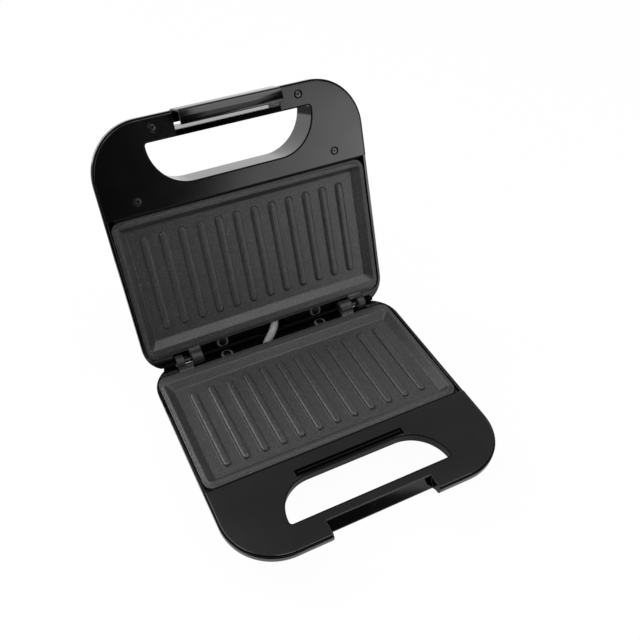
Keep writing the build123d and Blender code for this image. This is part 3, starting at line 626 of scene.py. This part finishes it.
# ------------------------------------------------------------------ feet and cord gland
# Four soft rubber feet, moulded with two ring grooves and pressed into seats in the floor, and the
# rubber gland at the cord inlet.
soft_rubber = moulded("soft_rubber", (0.010, 0.010, 0.0105), 0.62, 0.12, 0.3, 0.00015)
groove_depth, flat, grooves = 0.0006, 1e-5, ((0.0049, 0.0057), (0.0027, 0.0035))
foot = upright(0.0080, 0, 0.0049, 64)
bpy.ops.object.mode_set(mode="EDIT")
pick(foot, "FACE", lambda f: f.calc_center_median().length < flat)
bpy.ops.mesh.bevel(offset=0.0011, segments=4)
for width in (0.0012, 0.0008, 0.0014, 0.0008, 0.0010):
    pick(foot, "FACE", lambda f: f.calc_center_median().length < flat)
    bpy.ops.mesh.inset(thickness=width)
pick(foot, "FACE", lambda f: f.calc_center_median().z < flat and any(
    inner < f.calc_center_median().xy.length < outer for inner, outer in grooves))
bpy.ops.mesh.extrude_region_move(TRANSFORM_OT_translate={"value": (0, 0, groove_depth)})
bpy.ops.object.mode_set(mode="OBJECT")
bpy.ops.object.shade_smooth_by_angle(angle=radians(30))
foot.data.materials.append(soft_rubber)
bpy.ops.object.select_all(action="DESELECT")
for corner, x, y in (("front_left", -0.082, -0.112), ("front_right", 0.082, -0.112),
                     ("rear_left", -0.082, -0.010), ("rear_right", 0.082, -0.010)):
    ringed = bpy.data.objects.new("ringed_foot_" + corner, foot.data.copy())
    bpy.context.scene.collection.objects.link(ringed)
    ringed.data.transform(Matrix.Translation((x, y + hinge_y, 0)))
    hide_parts("foot_" + corner)
    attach(ringed, "base")
bpy.data.objects.remove(foot)
paint("cord_gland", soft_rubber)

# ------------------------------------------------------------------ latch
# A gloss black clip moulded in one: a wall with a full rounded hook lip, two pivot ends and the boss
# that its spring bears on. It turns in the lid's handle and snaps under the base handle's bar.
latch_black = surface("latch_black", (0.0016, 0.0016, 0.0018), 0.10, Specular_IOR_Level=0.5)
drive(latch_black, wear(latch_black, moulded_skin, Gloss=0.11, Haze=0.05, Grain_Share=0.05),
      bump=0.00006, Roughness="Roughness")


def side_prism(name, outline, left, right, edge):
    """A prism along X from a (y, z) outline of the lid's own frame, with its ends' edges rounded."""
    bpy.ops.mesh.primitive_circle_add(vertices=len(outline), radius=0.01, fill_type="NGON")
    prism = bpy.context.object
    prism.name = name
    for corner, (y, z) in zip(prism.data.vertices, outline):
        corner.co = (left, y, z)
    bpy.ops.object.mode_set(mode="EDIT")
    bpy.ops.mesh.select_all(action="SELECT")
    bpy.ops.mesh.extrude_region_move(TRANSFORM_OT_translate={"value": (right - left, 0, 0)})
    bpy.ops.mesh.select_all(action="SELECT")
    bpy.ops.mesh.normals_make_consistent(inside=False)
    bpy.ops.object.mode_set(mode="OBJECT")
    bpy.ops.object.modifier_add(type="BEVEL")
    rounding = prism.modifiers["Bevel"]
    rounding.width, rounding.segments = edge, 3
    rounding.limit_method, rounding.angle_limit = "ANGLE", radians(50)
    bpy.ops.object.modifier_apply(modifier="Bevel")
    return prism


lip_y, lip_z, lip_reach, lip_rise = -0.1882, 0.0095, 0.010, 0.0045
lip = [(lip_y - lip_reach * sin(radians(turn)), lip_z + lip_rise * cos(radians(turn)))
       for turn in range(0, 91, 5)]
clip_outline = [
    (-0.1874, 0.01235), (-0.1874, 0.0133), (-0.1877, 0.0138), *lip,
    (-0.1982, -0.0040), (-0.1980, -0.0085), (-0.1972, -0.0128), (-0.1961, -0.0168), (-0.1949, -0.0192),
    (-0.1930, -0.0208), (-0.1912, -0.0207), (-0.1896, -0.0199), (-0.1892, -0.0191), (-0.1892, -0.0158),
    (-0.1897, -0.0148), (-0.1932, -0.0126), (-0.1950, -0.0085), (-0.1963, -0.0045), (-0.1963, 0.0106),
    (-0.1946, 0.0123),
]
clip = side_prism("latch_clip_body", clip_outline, -0.0416, 0.0416, 0.0005)
boss_outline = [(-0.1914, -0.0196), (-0.1914, -0.0134), (-0.1880, -0.0134),
                (-0.1872, -0.0142), (-0.1872, -0.0188), (-0.1880, -0.0196)]
boss = side_prism("latch_spring_boss", boss_outline, -0.0414, -0.0325, 0.0003)
pivots, pivot_radius, pivot_y, pivot_z = [], 0.0018, -0.1916, -0.0172
for left, right in ((-0.0452, -0.0400), (0.0400, 0.0452)):
    bpy.ops.mesh.primitive_cylinder_add(vertices=32, radius=pivot_radius, depth=right - left,
                                        location=((left + right) / 2, pivot_y, pivot_z),
                                        rotation=(0, radians(90), 0))
    pivot = bpy.context.object
    bpy.ops.object.transform_apply(location=True, rotation=True, scale=True)
    bpy.ops.object.modifier_add(type="BEVEL")
    pivot.modifiers["Bevel"].width = 0.0003
    bpy.ops.object.modifier_apply(modifier="Bevel")
    pivots.append(pivot)
join([clip, boss, *pivots])
clip.data.transform(lid_seat)
clip.data.flip_normals()
bpy.ops.object.shade_smooth_by_angle(angle=radians(35))
clip.data.materials.clear()
clip.data.materials.append(latch_black)
bpy.ops.object.select_all(action="DESELECT")
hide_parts("latch_clip")
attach(clip, "latch")

# ------------------------------------------------------------------ studio: floor, light and camera
# A pale floor that runs out to white, a plain white world and seven softboxes. The two low ones at
# the front right draw the sheen on the lid's handle. Glossy rays see the room graded instead.
floor_white = bpy.data.materials.new("studio_floor")
floor_white.use_nodes = True
tree = floor_white.node_tree
tree.nodes.clear()
diffuse = add_node(tree, "ShaderNodeBsdfDiffuse", inputs={"Color": (0.8, 0.8, 0.8, 1)})
glow = add_node(tree, "ShaderNodeEmission", inputs={"Color": (1, 1, 1, 1)})
floor_place = add_node(tree, "ShaderNodeTexCoord")
floor_axes = add_node(tree, "ShaderNodeSeparateXYZ")
nearness = add_node(tree, "ShaderNodeMapRange", inputs={"From Min": -0.36, "From Max": -0.24})
rightness = add_node(tree, "ShaderNodeMapRange", inputs={"From Min": 0.125, "From Max": 0.145})
lit_floor = add_node(tree, "ShaderNodeMath", operation="MAXIMUM")
mirrored = add_node(tree, "ShaderNodeMath", operation="SUBTRACT", inputs={0: 1.0})
dimmed = add_node(tree, "ShaderNodeMath", operation="MULTIPLY")
strength = add_node(tree, "ShaderNodeMath", operation="SUBTRACT", inputs={0: 1.0})
middle = add_node(tree, "ShaderNodeVectorMath", operation="DISTANCE", inputs={1: (0, -0.03, 0)})
own_shade = add_node(tree, "ShaderNodeMapRange", inputs={
    "From Min": 0.110, "From Max": 0.125, "To Min": 0.35})
unshaded = add_node(tree, "ShaderNodeMath", operation="MULTIPLY")
behind = add_node(tree, "ShaderNodeVectorMath", operation="DISTANCE", inputs={1: (-0.16, 0.42, 0)})
lid_shade = add_node(tree, "ShaderNodeMapRange", inputs={"From Min": 0.16, "From Max": 0.21, "To Min": 0.15})
both_shades = add_node(tree, "ShaderNodeMath", operation="MULTIPLY")
paths = add_node(tree, "ShaderNodeLightPath")
seen = add_node(tree, "ShaderNodeMath", operation="MAXIMUM")
seen_all = add_node(tree, "ShaderNodeMath", operation="MAXIMUM")
share = add_node(tree, "ShaderNodeMath", operation="MULTIPLY", inputs={1: 0.97})
tree.links.new(floor_place.outputs["Object"], floor_axes.inputs["Vector"])
tree.links.new(floor_axes.outputs["Y"], nearness.inputs["Value"])
tree.links.new(floor_axes.outputs["X"], rightness.inputs["Value"])
tree.links.new(nearness.outputs["Result"], lit_floor.inputs[0])
tree.links.new(rightness.outputs["Result"], lit_floor.inputs[1])
tree.links.new(floor_place.outputs["Object"], middle.inputs[0])
tree.links.new(middle.outputs["Value"], own_shade.inputs["Value"])
tree.links.new(floor_place.outputs["Object"], behind.inputs[0])
tree.links.new(behind.outputs["Value"], lid_shade.inputs["Value"])
tree.links.new(own_shade.outputs["Result"], both_shades.inputs[0])
tree.links.new(lid_shade.outputs["Result"], both_shades.inputs[1])
tree.links.new(lit_floor.outputs["Value"], unshaded.inputs[0])
tree.links.new(both_shades.outputs["Value"], unshaded.inputs[1])
tree.links.new(unshaded.outputs["Value"], mirrored.inputs[1])
tree.links.new(mirrored.outputs["Value"], dimmed.inputs[0])
tree.links.new(paths.outputs["Is Glossy Ray"], dimmed.inputs[1])
tree.links.new(dimmed.outputs["Value"], strength.inputs[1])
tree.links.new(strength.outputs["Value"], glow.inputs["Strength"])
blend_floor = add_node(tree, "ShaderNodeMixShader")
floor_out = add_node(tree, "ShaderNodeOutputMaterial")
tree.links.new(paths.outputs["Is Camera Ray"], seen.inputs[0])
tree.links.new(paths.outputs["Is Glossy Ray"], seen.inputs[1])
tree.links.new(seen.outputs["Value"], seen_all.inputs[0])
tree.links.new(paths.outputs["Is Transmission Ray"], seen_all.inputs[1])
tree.links.new(seen_all.outputs["Value"], share.inputs[0])
tree.links.new(share.outputs["Value"], blend_floor.inputs["Fac"])
tree.links.new(diffuse.outputs["BSDF"], blend_floor.inputs[1])
tree.links.new(glow.outputs["Emission"], blend_floor.inputs[2])
tree.links.new(blend_floor.outputs["Shader"], floor_out.inputs["Surface"])
bpy.ops.mesh.primitive_plane_add(size=12.0, location=(0, 0, -0.0002))
floor = bpy.context.object
floor.name = "studio_floor"
floor.data.materials.append(floor_white)

world = bpy.data.worlds.new("studio_world")
bpy.context.scene.world = world
world.use_nodes = True
tree = world.node_tree
tree.nodes.clear()
paths = add_node(tree, "ShaderNodeLightPath")
seen_all = add_node(tree, "ShaderNodeMath", operation="MAXIMUM")
plain = add_node(tree, "ShaderNodeBackground", inputs={"Color": (1, 1, 1, 1), "Strength": 0.2})
bright = add_node(tree, "ShaderNodeBackground", inputs={"Color": (1, 1, 1, 1), "Strength": 1.0})
mirrored_room = add_node(tree, "ShaderNodeBackground", inputs={"Color": (1, 1, 1, 1)})
sky_place = add_node(tree, "ShaderNodeTexCoord")
sky_axes = add_node(tree, "ShaderNodeSeparateXYZ")
front_dusk = add_node(tree, "ShaderNodeMapRange", inputs={
    "From Min": -0.6, "From Max": 0.1, "To Min": 0.01, "To Max": 0.40})
low_white = add_node(tree, "ShaderNodeMapRange", inputs={
    "From Min": 0.74, "From Max": 0.5, "To Min": 0.0, "To Max": 0.6})
back_only = add_node(tree, "ShaderNodeMapRange", inputs={"From Min": 0.0, "From Max": 0.5})
low_back = add_node(tree, "ShaderNodeMath", operation="MULTIPLY")
room_light = add_node(tree, "ShaderNodeMath", operation="ADD")
room = add_node(tree, "ShaderNodeMixShader")
mix = add_node(tree, "ShaderNodeMixShader")
tree.links.new(sky_place.outputs["Generated"], sky_axes.inputs["Vector"])
tree.links.new(sky_axes.outputs["Y"], front_dusk.inputs["Value"])
tree.links.new(sky_axes.outputs["Z"], low_white.inputs["Value"])
tree.links.new(sky_axes.outputs["Y"], back_only.inputs["Value"])
tree.links.new(low_white.outputs["Result"], low_back.inputs[0])
tree.links.new(back_only.outputs["Result"], low_back.inputs[1])
tree.links.new(front_dusk.outputs["Result"], room_light.inputs[0])
tree.links.new(low_back.outputs["Value"], room_light.inputs[1])
tree.links.new(room_light.outputs["Value"], mirrored_room.inputs["Strength"])
world_out = add_node(tree, "ShaderNodeOutputWorld")
tree.links.new(paths.outputs["Is Camera Ray"], seen_all.inputs[0])
tree.links.new(paths.outputs["Is Transmission Ray"], seen_all.inputs[1])
tree.links.new(seen_all.outputs["Value"], mix.inputs["Fac"])
tree.links.new(paths.outputs["Is Glossy Ray"], room.inputs["Fac"])
tree.links.new(plain.outputs["Background"], room.inputs[1])
tree.links.new(mirrored_room.outputs["Background"], room.inputs[2])
tree.links.new(room.outputs["Shader"], mix.inputs[1])
tree.links.new(bright.outputs["Background"], mix.inputs[2])
tree.links.new(mix.outputs["Shader"], world_out.inputs["Surface"])


def softbox(name, place, aim, width, height, power, roll=0.0):
    """A rectangular area lamp that faces a point, turned about the line to it by the roll."""
    lamp = bpy.data.lights.new(name, "AREA")
    lamp.shape, lamp.size, lamp.size_y, lamp.energy = "RECTANGLE", width, height, power
    holder = bpy.data.objects.new(name, lamp)
    bpy.context.scene.collection.objects.link(holder)
    holder.location = place
    holder.rotation_mode = "QUATERNION"
    facing = (Vector(aim) - Vector(place)).to_track_quat("-Z", "Y")
    holder.rotation_quaternion = facing @ Quaternion((0, 0, 1), roll)


handle_sheen = (0.03, 0.11, 0.185)
softbox("overhead_softbox", (-0.95, 0.7, 1.9), (0, 0, 0.1), 1.6, 1.6, 27)
softbox("back_left_softbox", (-1.05, 1.30, 1.45), (0, 0, 0.05), 0.5, 0.5, 9)
softbox("front_right_softbox", (0.784, -1.345, 0.375), handle_sheen, 0.7, 0.6, 2.8, radians(-32))
softbox("front_right_core", (1.02, -1.25, 0.46), handle_sheen, 0.5, 0.6, 1.1, radians(-32))
softbox("front_overhead_softbox", (0.62, -0.55, 1.75), (0.62, -0.55, 0), 1.1, 1.8, 17)
softbox("front_high_softbox", (0.95, -2.1, 1.75), (0.95, -1.6, 0), 1.3, 1.5, 6)
softbox("left_softbox", (-1.5, -0.4, 1.0), (0, 0, 0.1), 0.8, 1.0, 8)

camera_data = bpy.data.cameras.new("studio_camera")
camera_data.sensor_width = 36.0
camera_data.lens = 39.341
camera_data.shift_x, camera_data.shift_y = 0.0386, 0.0506
camera_data.clip_start, camera_data.clip_end = 0.01, 50.0
camera = bpy.data.objects.new("studio_camera", camera_data)
bpy.context.scene.collection.objects.link(camera)
camera.location = (-0.17117, -0.350732, 0.47978)
camera.rotation_euler = (radians(43.178), 0.0, radians(-25.706))
bpy.context.scene.camera = camera
bpy.context.scene.view_settings.view_transform = "Standard"
